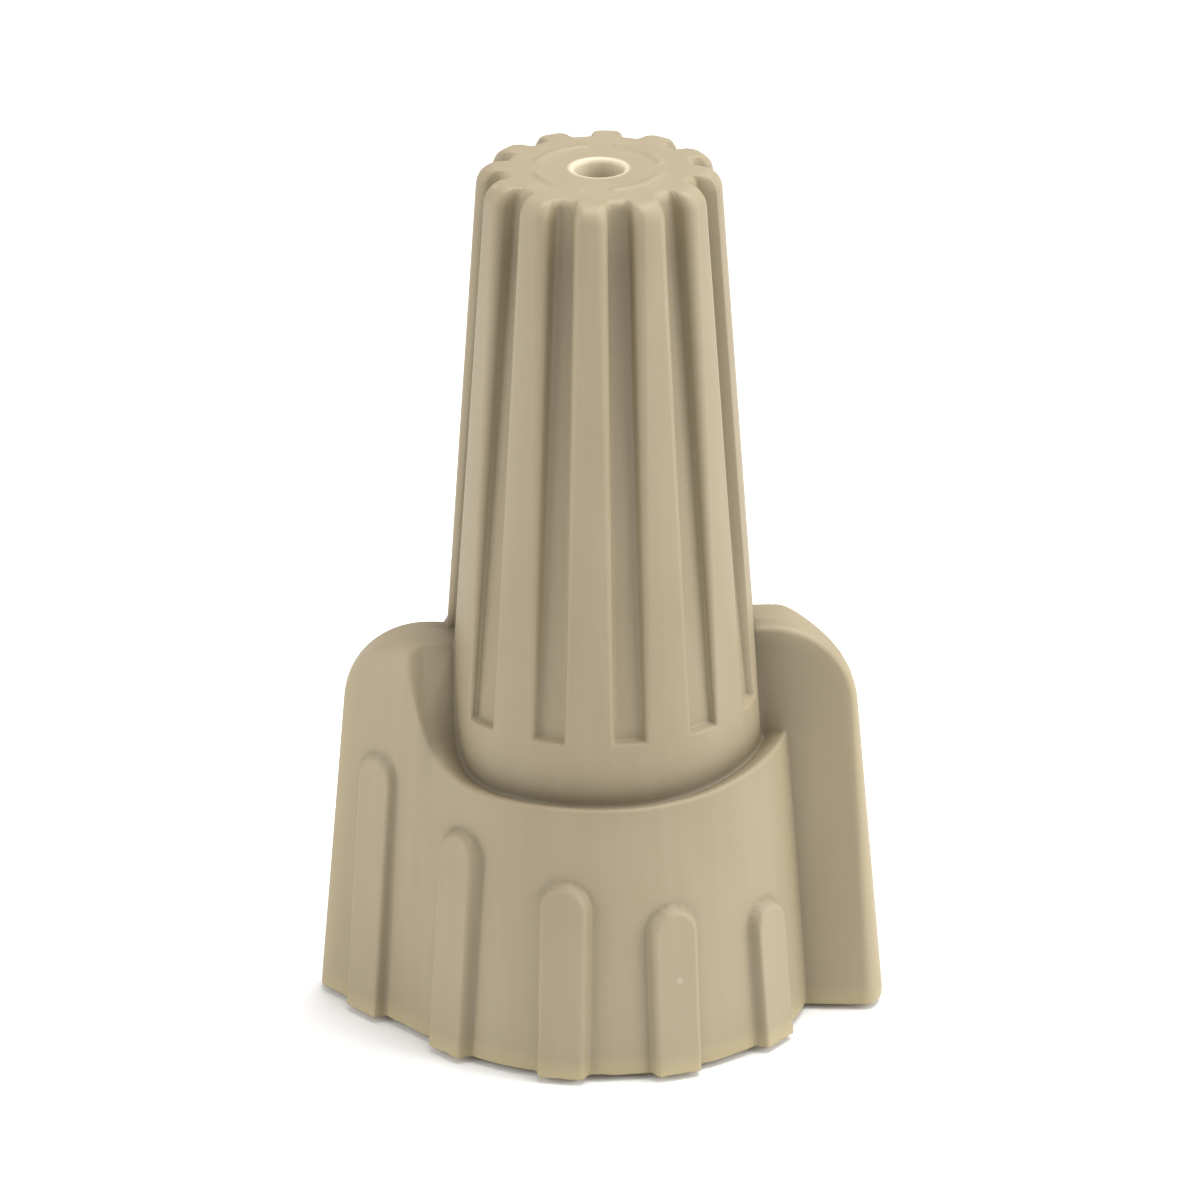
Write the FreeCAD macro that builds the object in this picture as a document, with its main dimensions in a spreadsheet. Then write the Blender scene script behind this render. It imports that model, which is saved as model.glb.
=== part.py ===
"""Winged twist-on wire connector: a moulded shell and the square-wire spring inside it.

Millimetres, +Z up. The connector stands on its open mouth: the origin is the centre of the mouth
rim, the cone points up along +Z and the two wings reach out along +X and -X.
"""
import FreeCAD
import Part
import Sketcher
import math
import os

from FreeCAD import Placement, Rotation, Vector

OUTPUT_FOLDER = "parts"

# Driving dimensions: cell alias, value in millimetres or degrees, and what it is.
SIZES = [
    ("overall_height", 31.0, "mouth rim to the top of the cone"),
    ("skirt_foot_radius", 7.38, "skirt at the mouth rim"),
    ("skirt_crown_radius", 6.19, "skirt carried on with the same draft to the wing's top"),
    ("shoulder_height", 9.75, "top of the skirt's rim"),
    ("wing_height", 14.00, "top of the wings"),
    ("wing_foot_reach", 9.95, "wing tip from the axis, at the mouth rim"),
    ("wing_crown_reach", 8.76, "wing tip from the axis, at the wing's top before rounding"),
    ("wing_corner_radius", 2.80, "outer top corner of a wing"),
    ("wing_foot_set", 1.25, "flat wing face from the centre plane, at the mouth rim"),
    ("wing_crown_set", 0.25, "flat wing face from the centre plane, at the wing's top"),
    ("wing_tip_set", 0.15, "swept wing face from the centre plane, at the tip"),
    ("ramp_foot_angle", 57.0, "where the shoulder starts to rise, from the wing's own axis"),
    ("ramp_low_angle", 46.0, "second point of the ramp"),
    ("ramp_middle_angle", 34.5, "third point of the ramp"),
    ("ramp_high_angle", 27.3, "fourth point of the ramp"),
    ("ramp_steep_angle", 23.0, "fifth point of the ramp"),
    ("ramp_crest_angle", 17.5, "where the ramp leaves the wing's top"),
    ("ramp_low_rise", 0.04, "share of the step from shoulder to wing top, second point"),
    ("ramp_middle_rise", 0.20, "the same, third point"),
    ("ramp_high_rise", 0.43, "the same, fourth point"),
    ("ramp_steep_rise", 0.66, "the same, fifth point"),
    ("ramp_crest_rise", 1.03, "the same, past the wing's top"),
    ("cut_margin", 3.0, "how far cuts run past the outside"),
    ("ramp_overlap", 1.2, "how far the shoulder cuts run in under the cone"),
    ("cone_root", 2.0, "how far the cone runs down inside the skirt"),
    ("cone_foot_radius", 5.66, "cone over its ribs, at the shoulder"),
    ("cone_crown_radius", 4.20, "cone over its ribs, at the top before rounding"),
    ("crown_round", 0.80, "rounding round the cone's top"),
    ("flute_count", 12, "grooves between the cone's ribs"),
    ("flute_foot_height", 11.75, "lower end of the grooves"),
    ("flute_foot_floor", 5.00, "groove floor from the axis, at its lower end"),
    ("flute_crown_floor", 3.30, "groove floor from the axis, at the cone's top"),
    ("flute_foot_width", 1.10, "groove width at its lower end"),
    ("flute_crown_width", 0.88, "groove width at the cone's top"),
    ("flute_turn", 2.1, "turn of the grooves back from the wings' line, in degrees"),
    ("grip_width", 1.75, "width of a grip rib"),
    ("grip_proud", 0.40, "how far a grip rib stands off the skirt"),
    ("skirt_draft", 4.85, "lean of the skirt's wall, in degrees"),
    ("mouth_radius", 6.35, "edge of the mouth, at the rim"),
    ("bore_radius", 5.95, "straight bore that takes the cable insulation"),
    ("lead_in_height", 0.80, "top of the mouth's lead-in chamfer"),
    ("bore_end_height", 7.30, "top of the straight bore"),
    ("throat_height", 10.00, "where the funnel meets the spring chamber"),
    ("throat_radius", 4.15, "spring chamber at the throat"),
    ("chamber_end_height", 28.20, "top of the spring chamber"),
    ("chamber_end_radius", 2.75, "spring chamber at its top"),
    ("probe_hole_radius", 0.86, "test probe hole through the top"),
    ("wire_side", 0.90, "side of the spring's square wire"),
    ("spring_pitch", 1.70, "spring, turn to turn"),
    ("spring_gap", 0.04, "spring's outer corner to the chamber wall"),
    ("spring_foot_height", 10.90, "middle of the wire at the spring's wide end"),
    ("spring_crown_height", 27.20, "middle of the wire at the spring's narrow end"),
]

# Grip ribs of one side, from the wing they start beside: way each one faces, its sideways
# offset in that direction, and how high it reaches.
GRIPS = [
    ("grip_wing", -137.0, -4.05, 9.6),
    ("grip_turn", -135.0, 0.2, 8.2),
    ("grip_left", -98.6, 0.0, 7.05),
    ("grip_right", -67.2, 0.0, 6.05),
    ("grip_step", -33.7, 0.0, 5.2),
]

# Sections of the shoulder's ramp: name, turn from the wing's own axis, share of the step risen.
RAMP = [
    ("start", "90", "0"),
    ("foot", "Sizes.ramp_foot_angle", "0"),
    ("low", "Sizes.ramp_low_angle", "Sizes.ramp_low_rise"),
    ("middle", "Sizes.ramp_middle_angle", "Sizes.ramp_middle_rise"),
    ("high", "Sizes.ramp_high_angle", "Sizes.ramp_high_rise"),
    ("steep", "Sizes.ramp_steep_angle", "Sizes.ramp_steep_rise"),
    ("crest", "Sizes.ramp_crest_angle", "Sizes.ramp_crest_rise"),
]

ORIGIN_POINT = (-1, 1)
EDGE_SLACK = 0.05


def make_sheet(doc):
    """The spreadsheet of driving dimensions."""
    sheet = doc.addObject("Spreadsheet::Sheet", "Sizes")
    rows = list(SIZES)
    for name, facing, offset, top in GRIPS:
        rows.append((name + "_facing", facing, "way the grip rib faces, in plan"))
        rows.append((name + "_offset", offset, "its sideways offset"))
        rows.append((name + "_top", top, "its height"))
    for row, (alias, value, meaning) in enumerate(rows, start=1):
        sheet.set("A%d" % row, meaning)
        sheet.set("B%d" % row, str(value))
        sheet.setAlias("B%d" % row, alias)
    doc.recompute()
    return sheet


def origin_feature(body, role):
    """One of the body's own origin planes or axes."""
    for feature in body.Origin.OriginFeatures:
        if feature.Role == role:
            return feature
    raise RuntimeError("no origin feature " + role)


def add_sketch(body, name, role, offset=Placement(), lift=None, turn=None):
    """A sketch on one of the body's origin planes, lifted or turned from it by an expression."""
    sketch = body.newObject("Sketcher::SketchObject", name)
    sketch.AttachmentSupport = (origin_feature(body, role), [""])
    sketch.MapMode = "FlatFace"
    sketch.AttachmentOffset = offset
    if lift:
        sketch.setExpression("AttachmentOffset.Base.z", lift)
    if turn:
        sketch.setExpression("AttachmentOffset.Rotation.Angle", turn)
    return sketch


def bind(sketch, kind, references, expression, value=1.0):
    """Add a dimension to a sketch and drive it by an expression on the sheet."""
    index = sketch.addConstraint(Sketcher.Constraint(kind, *references, value))
    sketch.setExpression("Constraints[%d]" % index, expression)


def place_point(sketch, geometry, end, across, up, guess=Vector(1, 1, 0)):
    """Pin a point of a sketch by its two coordinates, as expressions; None lies on an axis."""
    if across is None:
        sketch.addConstraint(Sketcher.Constraint("PointOnObject", geometry, end, -2))
    else:
        bind(sketch, "DistanceX", (*ORIGIN_POINT, geometry, end), across, guess.x)
    if up is None:
        sketch.addConstraint(Sketcher.Constraint("PointOnObject", geometry, end, -1))
    else:
        bind(sketch, "DistanceY", (*ORIGIN_POINT, geometry, end), up, guess.y)


def add_polygon(sketch, corners):
    """A closed polygon whose corners are pairs of expressions."""
    count = len(corners)
    spots = []
    for index in range(count):
        angle = 2.0 * math.pi * index / count
        spots.append(Vector(math.cos(angle), math.sin(angle), 0))
    for index in range(count):
        sketch.addGeometry(Part.LineSegment(spots[index], spots[(index + 1) % count]))
    for index in range(count):
        following = (index + 1) % count
        sketch.addConstraint(Sketcher.Constraint("Coincident", index, 2, following, 1))
    for index, (across, up) in enumerate(corners):
        place_point(sketch, index, 1, across, up)


def swirl_plan(doc, name, sheet, radius, reach, face_set, lift=None):
    """The skirt and both wings in plan.

    Each side is an arc round the skirt, a line that leaves it as a tangent to sweep out to a wing
    tip, the blunt tip, and the wing's flat face running straight back in to the other arc.
    """
    sketch = doc.addObject("Sketcher::SketchObject", name)
    if lift:
        sketch.setExpression("Placement.Base.z", lift)
    skirt = getattr(sheet, radius)
    tip = getattr(sheet, reach)
    flat = getattr(sheet, face_set)
    blunt = sheet.wing_tip_set
    leave_angle = math.acos(skirt / math.hypot(tip, blunt)) - math.atan2(blunt, tip)
    meet_angle = math.asin(flat / skirt)
    axis = Vector(0, 0, 1)
    for side in range(2):
        half_turn = math.pi * side
        turn = Rotation(axis, math.degrees(half_turn))
        leave = math.pi + half_turn + leave_angle
        meet = 2.0 * math.pi + half_turn - meet_angle
        circle = Part.Circle(Vector(0, 0, 0), axis, skirt)
        start = Vector(skirt * math.cos(leave), skirt * math.sin(leave), 0)
        tip_front = turn.multVec(Vector(-tip, -blunt, 0))
        tip_back = turn.multVec(Vector(-tip, flat, 0))
        root = turn.multVec(Vector(-skirt * math.cos(meet_angle), flat, 0))
        sketch.addGeometry(Part.ArcOfCircle(circle, leave, meet))
        sketch.addGeometry(Part.LineSegment(start, tip_front))
        sketch.addGeometry(Part.LineSegment(tip_front, tip_back))
        sketch.addGeometry(Part.LineSegment(tip_back, root))
    for side, sign in enumerate((-1, 1)):
        arc = 4 * side
        opposite_arc = 4 - arc
        tip_end = (*ORIGIN_POINT, arc + 2, 2)
        tip_start = (*ORIGIN_POINT, arc + 2, 1)
        sketch.addConstraint(Sketcher.Constraint("Coincident", arc, 3, *ORIGIN_POINT))
        sketch.addConstraint(Sketcher.Constraint("Tangent", arc + 1, 1, arc, 1))
        sketch.addConstraint(Sketcher.Constraint("Coincident", arc + 1, 2, arc + 2, 1))
        sketch.addConstraint(Sketcher.Constraint("Coincident", arc + 2, 2, arc + 3, 1))
        sketch.addConstraint(Sketcher.Constraint("Coincident", arc + 3, 2, opposite_arc, 2))
        sketch.addConstraint(Sketcher.Constraint("Vertical", arc + 2))
        sketch.addConstraint(Sketcher.Constraint("Horizontal", arc + 3))
        bind(sketch, "Radius", (arc,), "Sizes." + radius, skirt)
        bind(sketch, "DistanceX", tip_end, "%d * Sizes.%s" % (sign, reach), sign * tip)
        bind(sketch, "DistanceY", tip_end, "%d * Sizes.%s" % (-sign, face_set), -sign * flat)
        bind(sketch, "DistanceY", tip_start, "%d * Sizes.wing_tip_set" % sign, sign * blunt)
    return sketch


def make_skirt_block(doc, sheet):
    """The skirt and both wings as one ruled loft, up to the wings' top."""
    foot = swirl_plan(doc, "foot_plan", sheet, "skirt_foot_radius", "wing_foot_reach",
                      "wing_foot_set")
    crown = swirl_plan(doc, "crown_plan", sheet, "skirt_crown_radius", "wing_crown_reach",
                       "wing_crown_set", lift="Sizes.wing_height")
    block = doc.addObject("Part::Loft", "skirt_block")
    block.Sections = [foot, crown]
    block.Solid = True
    block.Ruled = True
    doc.recompute()
    return block


def level_edges(shape, height, reach):
    """Names of the shape's level edges at a height whose middle lies a given way out along X."""
    names = []
    for number, edge in enumerate(shape.Edges, start=1):
        box = edge.BoundBox
        level = box.ZLength < EDGE_SLACK and abs(box.ZMin - height) < EDGE_SLACK
        if level and abs(abs(box.Center.x) - reach) < EDGE_SLACK:
            names.append("Edge%d" % number)
    return names


def round_edges(body, name, base, edges, radius):
    """A fillet on named edges of the feature before it."""
    fillet = body.newObject("PartDesign::Fillet", name)
    fillet.Base = (base, edges)
    fillet.setExpression("Radius", radius)
    return fillet


def cut_shelf(body):
    """Cut the level shoulder from the flat face of one wing to a quarter turn round the skirt."""
    sketch = add_sketch(body, "shelf_section", "YZ_Plane")
    lean = "(Sizes.wing_foot_set - Sizes.wing_crown_set) / Sizes.wing_height"
    shelf_set = "-(Sizes.wing_foot_set - Sizes.shoulder_height * %s)" % lean
    top = "Sizes.wing_height + Sizes.cut_margin"
    top_set = "-(Sizes.wing_foot_set - (%s) * %s)" % (top, lean)
    outside = "-(Sizes.skirt_foot_radius + Sizes.cut_margin)"
    add_polygon(sketch, [(outside, "Sizes.shoulder_height"), (shelf_set, "Sizes.shoulder_height"),
                         (top_set, top), (outside, top)])
    pocket = body.newObject("PartDesign::Pocket", "shelf")
    pocket.Profile = sketch
    pocket.setExpression("Length", "Sizes.wing_foot_reach + Sizes.cut_margin")
    pocket.Reversed = True
    return pocket


def cut_ramp(body):
    """Cut the shoulder from the quarter turn on, rising in a hollow sweep into the next wing."""
    step = "(Sizes.wing_height - Sizes.shoulder_height)"
    sections = []
    for name, angle, rise in RAMP:
        turn = Placement(Vector(), Rotation(Vector(0, 1, 0), 1.0))
        sketch = add_sketch(body, "ramp_" + name, "XZ_Plane", offset=turn, turn=angle)
        floor = "Sizes.shoulder_height + %s * %s" % (rise, step)
        inner = "-(Sizes.cone_foot_radius - Sizes.ramp_overlap)"
        outer = "-(Sizes.wing_foot_reach + Sizes.cut_margin)"
        top = "Sizes.wing_height + Sizes.cut_margin"
        add_polygon(sketch, [(inner, floor), (outer, floor), (outer, top), (inner, top)])
        sections.append(sketch)
    loft = body.newObject("PartDesign::SubtractiveLoft", "ramp")
    loft.Profile = sections[0]
    loft.Sections = sections[1:]
    loft.Ruled = True
    return loft


def repeat_round(body, name, originals, count):
    """Repeat features round the axis and make the result the body's tip."""
    pattern = body.newObject("PartDesign::PolarPattern", name)
    pattern.Originals = originals
    pattern.Axis = (origin_feature(body, "Z_Axis"), [""])
    pattern.Angle = 360
    pattern.setExpression("Occurrences", count)
    body.Tip = pattern
    return pattern


def add_cone(body):
    """The cone over its ribs, as one revolved feature that starts inside the skirt."""
    sketch = add_sketch(body, "cone_profile", "XZ_Plane")
    root = "Sizes.shoulder_height - Sizes.cone_root"
    add_polygon(sketch, [(None, root), ("Sizes.cone_foot_radius", root),
                         ("Sizes.cone_foot_radius", "Sizes.shoulder_height"),
                         ("Sizes.cone_crown_radius", "Sizes.overall_height"),
                         (None, "Sizes.overall_height")])
    cone = body.newObject("PartDesign::Revolution", "cone")
    cone.Profile = sketch
    cone.ReferenceAxis = (sketch, ["V_Axis"])
    cone.Angle = 360
    return cone


def cut_flute(body):
    """Cut one groove of the cone: narrower, deeper and nearer the axis towards the top."""
    sections = []
    levels = [("foot", "Sizes.flute_foot_height", "Sizes.flute_foot_floor",
               "Sizes.flute_foot_width"),
              ("crown", "Sizes.overall_height", "Sizes.flute_crown_floor",
               "Sizes.flute_crown_width")]
    for name, level, floor, width in levels:
        turn = Placement(Vector(), Rotation(Vector(0, 0, 1), 1.0))
        sketch = add_sketch(body, "flute_" + name, "XY_Plane", offset=turn, lift=level,
                            turn="180 / Sizes.flute_count - Sizes.flute_turn")
        outside = "Sizes.cone_foot_radius + Sizes.cut_margin"
        near = "-%s / 2" % width
        far = "%s / 2" % width
        add_polygon(sketch, [(floor, near), (outside, near), (outside, far), (floor, far)])
        sections.append(sketch)
    loft = body.newObject("PartDesign::SubtractiveLoft", "flute")
    loft.Profile = sections[0]
    loft.Sections = sections[1:]
    loft.Ruled = True
    return loft


def add_grip(body, sheet, name):
    """One grip rib: a round-topped bar that leans with the skirt and stands a little off it."""
    facing = getattr(sheet, name + "_facing") + 90.0
    lean = Placement(Vector(), Rotation(0.0, facing, -sheet.skirt_draft))
    sketch = add_sketch(body, name + "_outline", "XZ_Plane", offset=lean)
    middle = getattr(sheet, name + "_offset")
    half = sheet.grip_width / 2.0
    shoulder = getattr(sheet, name + "_top") - half
    foot = -sheet.cut_margin
    corners = [Vector(middle - half, foot, 0), Vector(middle + half, foot, 0),
               Vector(middle + half, shoulder, 0), Vector(middle - half, shoulder, 0)]
    crown = Part.Circle(Vector(middle, shoulder, 0), Vector(0, 0, 1), half)
    sketch.addGeometry(Part.LineSegment(corners[0], corners[1]))
    sketch.addGeometry(Part.LineSegment(corners[1], corners[2]))
    sketch.addGeometry(Part.LineSegment(corners[3], corners[0]))
    sketch.addGeometry(Part.ArcOfCircle(crown, 0.0, math.pi))
    for joint in ((0, 2, 1, 1), (1, 2, 3, 1), (3, 2, 2, 1), (2, 2, 0, 1)):
        sketch.addConstraint(Sketcher.Constraint("Coincident", *joint))
    left = "Sizes.%s_offset - Sizes.grip_width / 2" % name
    right = "Sizes.%s_offset + Sizes.grip_width / 2" % name
    top = "Sizes.%s_top - Sizes.grip_width / 2" % name
    below = "-Sizes.cut_margin"
    place_point(sketch, 0, 1, left, below, corners[0])
    place_point(sketch, 0, 2, right, below, corners[1])
    place_point(sketch, 1, 2, right, top, corners[2])
    place_point(sketch, 2, 1, left, top, corners[3])
    bind(sketch, "DistanceY", (*ORIGIN_POINT, 3, 3), top, shoulder)
    pad = body.newObject("PartDesign::Pad", name)
    pad.Profile = sketch
    pad.setExpression("Length", "(Sizes.skirt_foot_radius + Sizes.grip_proud)"
                                " * cos(Sizes.skirt_draft)")
    return pad


def check_shrinks(doc, body, cut):
    """Stop if a cut takes nothing away, as one does that points out of the solid."""
    doc.recompute()
    before = cut.BaseFeature.Shape.Volume
    after = cut.Shape.Volume
    print("%s: %.1f to %.1f cubic millimetres" % (cut.Name, before, after))
    if after >= before:
        raise RuntimeError(cut.Name + " cuts nothing")
    body.Tip = cut


def trim_foot(body):
    """Cut away everything below the mouth rim's plane."""
    sketch = add_sketch(body, "foot_trim_outline", "XY_Plane")
    reach = "Sizes.wing_foot_reach + Sizes.cut_margin"
    back = "-(%s)" % reach
    add_polygon(sketch, [(back, back), (reach, back), (reach, reach), (back, reach)])
    pocket = body.newObject("PartDesign::Pocket", "foot_trim")
    pocket.Profile = sketch
    pocket.Type = "ThroughAll"
    return pocket


def hollow_out(body):
    """Cut the mouth, the straight bore, the funnel, the spring chamber and the probe hole."""
    sketch = add_sketch(body, "hollow_profile", "XZ_Plane")
    above = "Sizes.overall_height + Sizes.cut_margin"
    below = "-Sizes.cut_margin"
    add_polygon(sketch, [(None, below), ("Sizes.mouth_radius", below),
                         ("Sizes.mouth_radius", None),
                         ("Sizes.bore_radius", "Sizes.lead_in_height"),
                         ("Sizes.bore_radius", "Sizes.bore_end_height"),
                         ("Sizes.throat_radius", "Sizes.throat_height"),
                         ("Sizes.chamber_end_radius", "Sizes.chamber_end_height"),
                         ("Sizes.probe_hole_radius", "Sizes.chamber_end_height"),
                         ("Sizes.probe_hole_radius", above), (None, above)])
    groove = body.newObject("PartDesign::Groove", "hollow")
    groove.Profile = sketch
    groove.ReferenceAxis = (sketch, ["V_Axis"])
    groove.Angle = 360
    return groove


def make_shell(doc, sheet):
    """The moulded shell: skirt, wings, shoulder, ribbed cone and the hollow inside."""
    block = make_skirt_block(doc, sheet)
    body = doc.addObject("PartDesign::Body", "shell")
    body.BaseFeature = block
    doc.recompute()
    corners = level_edges(body.Shape, sheet.wing_height, sheet.wing_crown_reach)
    round_edges(body, "wing_corners", body.Tip, corners, "Sizes.wing_corner_radius")
    shoulder = [cut_shelf(body), cut_ramp(body)]
    repeat_round(body, "both_shoulders", shoulder, "2")
    cone = add_cone(body)
    doc.recompute()
    crown = level_edges(body.Shape, sheet.overall_height, 0.0)
    round_edges(body, "crown_edge", cone, crown, "Sizes.crown_round")
    repeat_round(body, "flutes", [cut_flute(body)], "Sizes.flute_count")
    grips = []
    for name, facing, offset, top in GRIPS:
        grips.append(add_grip(body, sheet, name))
    repeat_round(body, "both_grip_sets", grips, "2")
    check_shrinks(doc, body, trim_foot(body))
    check_shrinks(doc, body, hollow_out(body))
    return body


def make_spring(doc):
    """The conical spring: square wire, wound with a corner inwards so that it bites the wire."""
    body = doc.addObject("PartDesign::Body", "wire_spring")
    sketch = add_sketch(body, "wire_section", "XZ_Plane")
    narrowing = ("(Sizes.throat_radius - Sizes.chamber_end_radius)"
                 " / (Sizes.chamber_end_height - Sizes.throat_height)")
    half = "Sizes.wire_side * sqrt(2) / 2"
    chamber = "(Sizes.throat_radius - (Sizes.spring_foot_height - Sizes.throat_height) * %s)"
    outer = (chamber + " - Sizes.spring_gap") % narrowing
    middle = "%s - %s" % (outer, half)
    inner = "%s - 2 * %s" % (outer, half)
    centre = "Sizes.spring_foot_height"
    add_polygon(sketch, [(inner, centre), (middle, "%s - %s" % (centre, half)), (outer, centre),
                         (middle, "%s + %s" % (centre, half))])
    helix = body.newObject("PartDesign::AdditiveHelix", "winding")
    helix.Profile = sketch
    helix.ReferenceAxis = (sketch, ["V_Axis"])
    helix.Mode = "pitch-height-angle"
    helix.setExpression("Pitch", "Sizes.spring_pitch")
    helix.setExpression("Height", "Sizes.spring_crown_height - Sizes.spring_foot_height")
    helix.setExpression("Angle", "-atan(%s)" % narrowing)
    return body


def check_document(doc):
    """Stop if any object failed to recompute."""
    for item in doc.Objects:
        if "Invalid" in item.State or "Error" in item.State:
            raise RuntimeError("%s is %s" % (item.Name, item.State))


def write_part(body):
    """Write one sub-part as a STEP file named after its label."""
    shape = body.Shape
    if shape.isNull() or not shape.isValid():
        raise RuntimeError(body.Label + " has no valid shape")
    box = shape.BoundBox
    print("%s: %d solid, %.1f cubic millimetres, %.2f x %.2f x %.2f mm"
          % (body.Label, len(shape.Solids), shape.Volume, box.XLength, box.YLength, box.ZLength))
    shape.exportStep(os.path.join(OUTPUT_FOLDER, body.Label + ".step"))


def main():
    os.makedirs(OUTPUT_FOLDER, exist_ok=True)
    doc = FreeCAD.newDocument("wire_connector")
    sheet = make_sheet(doc)
    parts = [make_shell(doc, sheet), make_spring(doc)]
    doc.recompute()
    check_document(doc)
    for body in parts:
        write_part(body)


main()
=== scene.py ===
import math

import bmesh
import bpy
import numpy as np
from mathutils import Matrix, Vector, noise as uneven


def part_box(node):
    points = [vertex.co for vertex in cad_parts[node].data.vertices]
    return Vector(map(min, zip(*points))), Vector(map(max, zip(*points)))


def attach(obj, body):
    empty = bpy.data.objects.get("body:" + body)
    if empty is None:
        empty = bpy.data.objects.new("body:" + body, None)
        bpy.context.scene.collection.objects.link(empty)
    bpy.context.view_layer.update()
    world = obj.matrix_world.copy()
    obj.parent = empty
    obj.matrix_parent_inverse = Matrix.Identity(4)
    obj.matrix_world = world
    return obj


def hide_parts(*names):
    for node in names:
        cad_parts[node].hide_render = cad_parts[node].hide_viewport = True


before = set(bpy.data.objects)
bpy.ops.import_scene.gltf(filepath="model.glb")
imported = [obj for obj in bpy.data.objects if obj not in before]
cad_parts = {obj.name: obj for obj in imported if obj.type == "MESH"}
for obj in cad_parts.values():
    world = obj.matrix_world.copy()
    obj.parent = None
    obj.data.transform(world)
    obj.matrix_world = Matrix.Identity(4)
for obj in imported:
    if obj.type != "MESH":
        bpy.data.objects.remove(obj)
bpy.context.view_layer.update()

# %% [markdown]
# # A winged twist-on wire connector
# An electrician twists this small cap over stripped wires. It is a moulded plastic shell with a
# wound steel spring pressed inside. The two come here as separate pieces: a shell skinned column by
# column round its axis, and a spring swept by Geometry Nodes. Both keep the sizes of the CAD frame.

MM = 0.001
CAP_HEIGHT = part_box("shell")[1][2] / MM

# %% [markdown]
# ## Camera
# A small part on a light table is shot from well back with a long lens, so its sides hardly
# converge. Placing the camera from an aim point, two angles and a distance keeps each of them
# easy to read and to change.

# %% Long-lens camera above the front
AIM = Vector((0.0, 0.0, 14.889 * MM))
LOOK_ROUND, LOOK_DOWN, CAMERA_ROLL = map(math.radians, (2.19, 22.967, 0.191))
CAMERA_DISTANCE, CAMERA_STEP = 366.045 * MM, -0.016 * MM


def place_camera():
    """The scene's camera, from its angles round and above the cap."""
    back = Vector((math.sin(LOOK_ROUND) * math.cos(LOOK_DOWN),
                   -math.cos(LOOK_ROUND) * math.cos(LOOK_DOWN), math.sin(LOOK_DOWN)))
    right = Vector((math.cos(LOOK_ROUND), math.sin(LOOK_ROUND), 0.0))
    up = back.cross(right)
    level, tip = math.cos(CAMERA_ROLL), math.sin(CAMERA_ROLL)
    across, upward = right * level - up * tip, right * tip + up * level
    camera = bpy.data.objects.new("camera", bpy.data.cameras.new("camera"))
    turn = Matrix((across, upward, back)).transposed().to_4x4()
    camera.matrix_world = Matrix.Translation(AIM + back * CAMERA_DISTANCE + right * CAMERA_STEP) @ turn
    camera.data.sensor_width = 36.0
    camera.data.lens = 314.55
    camera.data.clip_start, camera.data.clip_end = 0.01, 20.0
    bpy.context.scene.collection.objects.link(camera)
    bpy.context.scene.camera = camera
    return camera


print("camera at, mm:", [round(v / MM, 1) for v in place_camera().location])

# %% [markdown]
# ## Sizes of the shell
# The skirt, the wings and the cone all lean inwards by a few degrees so that the moulding leaves
# its tool. Written as small functions of height, those leans give every other cell the same walls.

# %% Leaning walls and the cone
DRAFT, CONE_DRAFT = 0.0848, 0.0687
SKIRT_FOOT, TIP_FOOT, CONE_FOOT = 7.38, 9.95, 5.66
SHOULDER, WING_TOP, CORNER_ROUND = 9.75, 14.0, 3.0
TIP_SET = 0.15


def skirt_radius(z):
    return SKIRT_FOOT - DRAFT * z


def tip_reach(z):
    return TIP_FOOT - DRAFT * z


def face_set(z):
    """The wing's flat face from the centre plane: the wing is thinner towards its top."""
    return 1.25 - 0.0757 * z


def rib_radius(z):
    return CONE_FOOT - CONE_DRAFT * (z - SHOULDER)


def blend(a, b, share):
    return a + (b - a) * share


def ease(x):
    x = np.clip(x, 0.0, 1.0)
    return x * x * (3.0 - 2.0 * x)


print("skirt %.2f mm at the mouth, cone %.2f mm at the top" % (skirt_radius(0), rib_radius(31)))

# %% [markdown]
# ## Skirt wall with a swept wing
# Seen from above, the wall is an arc that runs off along its own tangent to the wing's tip, so a
# thumb pushes on a smooth slope. One distance along that wall, negative towards the tip and
# positive round the arc, names any point of it at any height.

# %% Points on the wall
def sweep_angle(z):
    """The angle at which the wing's swept side leaves the skirt."""
    reach = np.hypot(tip_reach(z), TIP_SET)
    return np.arccos(skirt_radius(z) / reach) + np.arctan2(TIP_SET, tip_reach(z))


def sweep_length(z):
    return np.sqrt(tip_reach(z) ** 2 + TIP_SET ** 2 - skirt_radius(z) ** 2)


def wall_point(along, z):
    """Plan point of the outer wall: on the straight sweep, or round the arc."""
    leave, radius = sweep_angle(z), skirt_radius(z)
    straight = np.minimum(along, 0.0)
    round_to = leave + np.maximum(along, 0.0) / radius
    x = radius * np.cos(round_to) - straight * np.sin(leave)
    y = radius * np.sin(round_to) + straight * np.cos(leave)
    return x, y


def wall_end(z):
    """Distance along the wall to the flat face of the far wing."""
    return skirt_radius(z) * (math.pi - np.arcsin(face_set(z) / skirt_radius(z)) - sweep_angle(z))


print("sweep %.2f mm long, leaving at %.1f degrees"
      % (sweep_length(0.0), math.degrees(sweep_angle(0.0))))

# %% [markdown]
# ## Shoulder, ramp and wing top
# A ring-shaped shoulder goes round the cone and climbs a hollow ramp into the wing. Its height is
# a rule of angle and radius, so it is written as one function: a few listed ramp heights, the
# wing's rounded silhouette, and a soft minimum that rounds the fold where they meet.

# %% Height of the moulding's top side
RAMP_ANGLES = np.array([0.0, 17.0, 19.0, 21.5, 25.0, 31.0, 38.0, 46.0, 57.0, 100.0, 124.0, 140.0,
                        158.0, 172.0, 180.0])
RAMP_HEIGHTS = np.array([16.9, 14.45, 13.55, 12.42, 11.42, 10.48, 10.02, 9.82, 9.75, 9.75, 9.86,
                         10.02, 10.18, 10.22, 10.22])


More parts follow.
